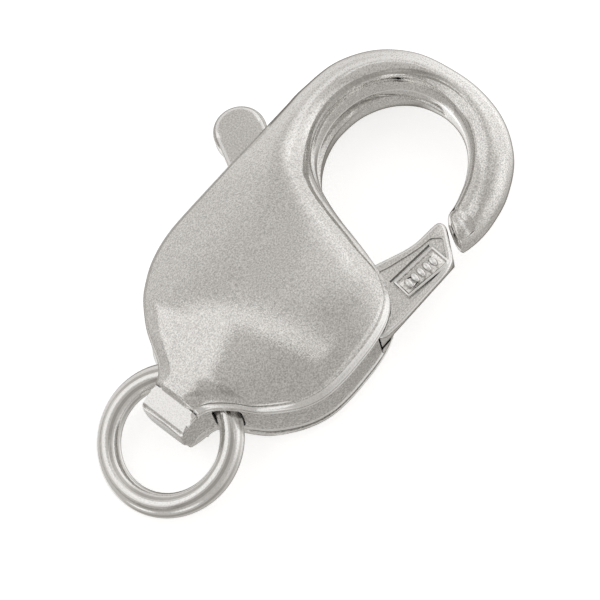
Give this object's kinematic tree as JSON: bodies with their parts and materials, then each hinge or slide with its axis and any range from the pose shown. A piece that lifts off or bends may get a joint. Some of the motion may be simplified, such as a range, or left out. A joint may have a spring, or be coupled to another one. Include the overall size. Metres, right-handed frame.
{
  "type": "lobster clasp",
  "caption": "Trigger-type jewellery clasp: a domed hollow body curling into a hook, a sprung gate lever with a thumb knob, and a round jump ring in the bail",
  "frame": {"origin": "on the flat back that the clasp lies on, under the centre of the round belly", "axes": "+X along the clasp to the hook's nose, +Y to the thumb knob, -Y to the gate, +Z out of the domed front"},
  "size_m": [0.0231, 0.0127, 0.0043],
  "materials": {
    "body_silver": "satin sterling silver",
    "lever_silver": "satin sterling silver",
    "pin_silver": "plain drawn wire",
    "ring_silver": "polished sterling silver wire"
  },
  "bodies": {
    "clasp": {"body": "body_silver", "pivot_pin": "pin_silver"},
    "lever": {"gate_lever": "lever_silver"},
    "ring": {"jump_ring": "ring_silver"}
  },
  "joints": [
    {"name": "gate_hinge", "type": "hinge", "parent": "clasp", "child": "lever", "pos_m": [0.0013, -0.0015, 0.0018], "axis": [0, 0, 1], "range_deg": [0, 22], "stiffness_Nm_per_rad": 0.02, "springref_deg": -8.59},
    {"name": "ring_hinge", "type": "hinge", "parent": "clasp", "child": "ring", "pos_m": [-0.00434, -0.00045, 0.00194], "axis": [0, 1, 0], "range_deg": [0, 25]}
  ]
}
